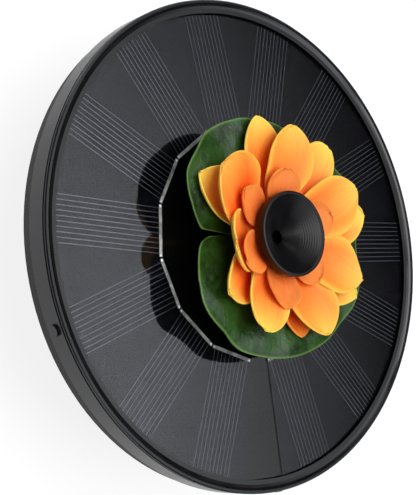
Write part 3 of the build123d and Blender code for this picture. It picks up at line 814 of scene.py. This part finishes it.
def lotus():
    """Three whorls of foam petals, each petal placed as in the photograph."""
    orange = foam_petal("petal_foam", (0.90, 0.11, 0.007), (0.92, 0.25, 0.034), (0.98, 0.70, 0.10), 0.25)
    # Darker copy of the petal foam for the inner whorl: its deeper colour is partly the foam's own and partly
    # painted shade for the flower's shaded centre.
    deep = foam_petal("petal_foam_deep", (0.82, 0.10, 0.012), (0.90, 0.235, 0.042), (0.94, 0.38, 0.065), 0.5)
    # In these tables painted_shading is painted shade for petals that sit in shade or hold shaded cups, and
    # painted light where it is below zero.
    outer = dict(
        start=9.0, reach=43.0, high=76.0, steep=1.5, sag=-0.4, width=21.0, tip=0.72, root=0.34,
        flat=0.1, cup=3.0, tilt=0.0, crease=0.0, skew=0.0, rim=1.0, painted_shading=0.15,
    )
    middle = dict(
        start=9.0, reach=40.0, high=80.0, steep=1.5, sag=-0.3, width=23.5, tip=0.60, root=0.34,
        flat=0.15, cup=3.6, tilt=0.0, crease=0.0, skew=0.0, rim=0.85, painted_shading=0.0,
    )
    inner = dict(
        start=9.0, reach=24.5, high=78.5, steep=1.2, sag=0.3, width=15.0, tip=0.60, root=0.55,
        flat=0.0, cup=1.4, tilt=0.0, crease=0.4, skew=0.0, rim=0.3, painted_shading=0.1,
    )
    whorl(
        "petals_outer_foam", "petals_outer", orange, OUTER_TOP, outer,
        [
            dict(angle=12, reach=36.8, high=73.5, width=19, painted_shading=0.8, rim=0.3, skew=1.5),
            dict(angle=59, reach=42.0, high=76.0, cup=2.0, tip=0.8, painted_shading=0.5),
            dict(angle=103, reach=44.4, high=76.3, tip=0.7, painted_shading=0.3),
            dict(angle=145, reach=43.2, high=76.3, width=20, tip=0.45, cup=2.0, skew=-0.8),
            dict(angle=191, reach=43.4, high=75.6, tip=0.7, cup=2.2, painted_shading=0.45, skew=0.6),
            dict(angle=242.5, reach=42.0, high=75.2, width=19, rim=1.0, painted_shading=-0.5, cup=3.4, tilt=-1.0),
            dict(angle=307, reach=36.2, high=77.6, width=20, painted_shading=0.75, rim=0.9, cup=2.2, tilt=-1.8, tip=0.6),
        ],
    )
    whorl(
        "petals_middle_foam", "petals_middle", orange, MIDDLE_TOP, middle,
        [
            dict(angle=24, reach=39.3, high=78.6, tip=0.7, skew=1.8, painted_shading=-0.2),
            dict(angle=70.5, reach=40.3, high=78.6, tip=0.95, crease=1.0, skew=-2.2),
            dict(angle=114, reach=40.6, high=80.0, tip=0.72, skew=2.6, crease=0.6, painted_shading=0.0),
            dict(angle=172, reach=40.2, high=79.5, tip=0.62),
            dict(angle=236, reach=38.8, high=81.2, width=29, tip=0.46, cup=3.6, painted_shading=0.45, rim=0.6),
            dict(angle=278, reach=31.6, high=84.8, width=24, tip=0.5, cup=2.4, steep=2.3, painted_shading=0.0),
            dict(angle=335, reach=37.0, high=79.4, width=21.5, tip=0.55, cup=3.0, rim=1.0, painted_shading=-0.3),
        ],
    )
    whorl(
        "petals_inner_foam", "petals_inner", deep, INNER_TOP, inner,
        [
            dict(angle=48, reach=22.8, high=76.2),
            dict(angle=112, reach=25.0, high=78.0),
            dict(angle=180, reach=23.8, high=79.4, width=17.5),
            dict(angle=237, reach=25.8, high=79.8, tip=0.8, painted_shading=0.2, crease=0.7),
            dict(angle=291, reach=25.0, high=80.4, width=16.5, tip=0.75, painted_shading=0.2, skew=1.5),
            dict(angle=351, reach=26.5, high=78.2, width=17, tip=0.8, painted_shading=0.1, crease=0.6, skew=1.5),
        ],
    )


# ---- Funnel ----


def arc_through(a, b, c, count):
    """Points along the circular arc from a to c that passes b."""
    (ax, ay), (bx, by), (cx, cy) = a, b, c
    a_square = ax**2 + ay**2
    b_square = bx**2 + by**2
    c_square = cx**2 + cy**2
    d = 2 * (ax * (by - cy) + bx * (cy - ay) + cx * (ay - by))
    ux = (a_square * (by - cy) + b_square * (cy - ay) + c_square * (ay - by)) / d
    uy = (a_square * (cx - bx) + b_square * (ax - cx) + c_square * (bx - ax)) / d
    radius = math.hypot(ax - ux, ay - uy)
    first = math.atan2(ay - uy, ax - ux)
    last = math.atan2(cy - uy, cx - ux)
    middle = math.atan2(by - uy, bx - ux)
    while abs(middle - first) > math.pi:
        middle += 2 * math.pi if middle < first else -2 * math.pi
    while (last - first) * (middle - first) < 0 or abs(last - first) < abs(middle - first):
        last += 2 * math.pi if middle > first else -2 * math.pi
    turns = [lerp(first, last, k / count) for k in range(count + 1)]
    return [(ux + radius * math.cos(turn), uy + radius * math.sin(turn)) for turn in turns]


def funnel():
    """Funnel nozzle: rounded lip, short skirt and fine turned ridges down the inside."""
    flare = (FUNNEL_STEM_R, FUNNEL_FLARE_Z)
    skirt = (FUNNEL_RIM_R - 0.15, FUNNEL_SKIRT_Z)
    outside = [(FUNNEL_BORE_R, FUNNEL_BOTTOM), (FUNNEL_STEM_R, FUNNEL_BOTTOM), flare]
    outside += arc_through(flare, FUNNEL_FLARE_MID, skirt, FLARE_STEPS)[1:]
    outside += [(FUNNEL_RIM_R - 0.05, FUNNEL_SKIRT_Z + 0.15), (FUNNEL_RIM_R, FUNNEL_SKIRT_Z + 0.4)]
    outside += [(FUNNEL_RIM_R, FUNNEL_TOP - 0.45), (FUNNEL_RIM_R - 0.13, FUNNEL_TOP - 0.13)]
    outside += [(FUNNEL_RIM_R - 0.45, FUNNEL_TOP), (FUNNEL_RIM_IN + 0.35, FUNNEL_TOP)]
    outside += [(FUNNEL_RIM_IN + 0.1, FUNNEL_TOP - 0.1)]
    rim = (FUNNEL_RIM_IN, FUNNEL_TOP - 0.3)
    throat = (FUNNEL_THROAT_R, FUNNEL_THROAT_Z)
    bowl = arc_through(rim, FUNNEL_BOWL_MID, throat, BOWL_STEPS)
    inside = []
    for index, (r, z) in enumerate(bowl):
        share = index / (len(bowl) - 1)
        ripple = RIDGE_DEPTH * smooth_step(share / 0.12) * smooth_step((0.62 - share) / 0.2)
        ripple *= 0.5 + 0.5 * math.sin(2 * math.pi * RIDGE_COUNT * share)
        inside.append((r + 0.55 * ripple, z - 0.8 * ripple))
    inside += [(FUNNEL_THROAT_R, FUNNEL_BORE_TOP), (FUNNEL_BORE_R, FUNNEL_BORE_TOP)]
    mesh = lathe("funnel", outside + inside, FUNNEL_SIDES, 35)
    skin = moulded(
        "funnel_plastic", (0.0014, 0.0014, 0.0018), (0.0026, 0.0026, 0.0032), 0.34, 0.5, 0.004,
        Specular_IOR_Level=0.3,
    )
    return add_object("funnel", mesh, "nozzle", skin, ["funnel_nozzle"])


# ---- Studio ----


def stage_piece(name, points, faces, paint):
    """A mesh that isn't part of the object, in metres."""
    mesh = bpy.data.meshes.new(name)
    mesh.from_pydata(points, [], faces)
    mesh.materials.append(paint.material)
    piece = bpy.data.objects.new(name, mesh)
    bpy.context.scene.collection.objects.link(piece)
    return piece


def studio_floor():
    """Pale floor, far wider than the object, with a little light of its own."""
    paint = Paint("floor_white", Roughness=0.9, Specular_IOR_Level=0.1)
    paint.colour(paint.blend(paint.noise(400.0), (0.20, 0.20, 0.20), (0.22, 0.22, 0.22)))
    paint.surface.inputs["Emission Color"].default_value = (1, 1, 1, 1)
    paint.surface.inputs["Emission Strength"].default_value = FLOOR_GLOW
    corners = [(x * FLOOR_SIDE, y * FLOOR_SIDE, FLOOR_Z) for x, y in ((-1, -1), (1, -1), (1, 1), (-1, 1))]
    stage_piece("floor", corners, [(0, 1, 2, 3)], paint)


def sky_curtain():
    """Curved diffuser beyond the disc: dim low down, bright overhead, for the panel to mirror."""
    points = []
    faces = []
    for row in range(CURTAIN_ROWS):
        rise = math.radians(lerp(CURTAIN_LOW, CURTAIN_HIGH, row / (CURTAIN_ROWS - 1)))
        flat = CURTAIN_R * math.cos(rise)
        for column in range(CURTAIN_COLUMNS):
            share = column / (CURTAIN_COLUMNS - 1)
            turn = math.radians(lerp(-CURTAIN_HALF_TURN, CURTAIN_HALF_TURN, share))
            points.append((flat * math.sin(turn), flat * math.cos(turn), CURTAIN_R * math.sin(rise)))
    for row in range(CURTAIN_ROWS - 1):
        for column in range(CURTAIN_COLUMNS - 1):
            a = row * CURTAIN_COLUMNS + column
            faces.append((a, a + 1, a + CURTAIN_COLUMNS + 1, a + CURTAIN_COLUMNS))
    paint = Paint("curtain", Roughness=1.0, Specular_IOR_Level=0.0)
    paint.surface.inputs["Base Color"].default_value = (0, 0, 0, 1)
    height = paint.ramp(paint.axis("Z"), CURTAIN_R * 0.605, CURTAIN_R * 0.84)
    sideways = paint.ramp(paint.axis("X"), -0.5 * CURTAIN_R, 0.2 * CURTAIN_R, 0.50, 1.0)
    strength = paint.math("MULTIPLY", paint.math("POWER", height, 1.5), sideways)
    paint.surface.inputs["Emission Color"].default_value = (0.93, 0.95, 1.0, 1)
    paint.link(paint.math("MULTIPLY", strength, CURTAIN_GAIN), paint.surface, "Emission Strength")
    stage_piece("curtain", points, faces, paint)


def softbox(name, place, width, height, radiance):
    """Rectangular area light of a given brightness, aimed at the flower."""
    light = bpy.data.lights.new(name, "AREA")
    light.shape = "RECTANGLE"
    light.size = width
    light.size_y = height
    light.energy = radiance * width * height * math.pi
    lamp = bpy.data.objects.new(name, light)
    bpy.context.scene.collection.objects.link(lamp)
    lamp.location = place
    aim = LIGHT_AIM - Vector(place)
    lamp.rotation_mode = "QUATERNION"
    lamp.rotation_quaternion = aim.to_track_quat("-Z", "Y")


def studio():
    """Dim world, mirrored curtain and three softboxes."""
    world = bpy.data.worlds.new("studio")
    bpy.context.scene.world = world
    world.use_nodes = True
    world.node_tree.nodes["Background"].inputs["Color"].default_value = (0.07, 0.07, 0.073, 1)
    sky_curtain()
    softbox("overhead", (-0.05, -0.10, 1.20), 1.1, 0.9, 4.1)
    softbox("side_left", (-1.10, -0.25, 0.42), 0.8, 0.5, 2.5)
    softbox("side_right", (0.95, -0.55, 0.55), 0.6, 0.6, 1.4)
    view = bpy.context.scene.view_settings
    view.view_transform = "Standard"
    view.look = "None"
    view.exposure = 0.0


def camera():
    """Camera at the photograph's angle, rolled about its line of sight."""
    data = bpy.data.cameras.new("camera")
    data.sensor_width = SENSOR
    data.lens = CAM_LENS
    data.clip_start = 0.01
    eye = bpy.data.objects.new("camera", data)
    bpy.context.scene.collection.objects.link(eye)
    forward = (CAM_AIM - CAM_AT).normalized()
    level = forward.cross(Vector((0, 0, 1))).normalized()
    upright = level.cross(forward)
    roll = math.radians(CAM_ROLL)
    right = level * math.cos(roll) + upright * math.sin(roll)
    up = upright * math.cos(roll) - level * math.sin(roll)
    turn = Matrix((right, up, -forward)).transposed()
    eye.matrix_world = Matrix.Translation(CAM_AT) @ turn.to_4x4()
    bpy.context.scene.camera = eye


camera()
studio_floor()
studio()
dress_cad_nodes()
finger_lines()
gap_strips()
solder_dots()
leaf()
lotus()
funnel()
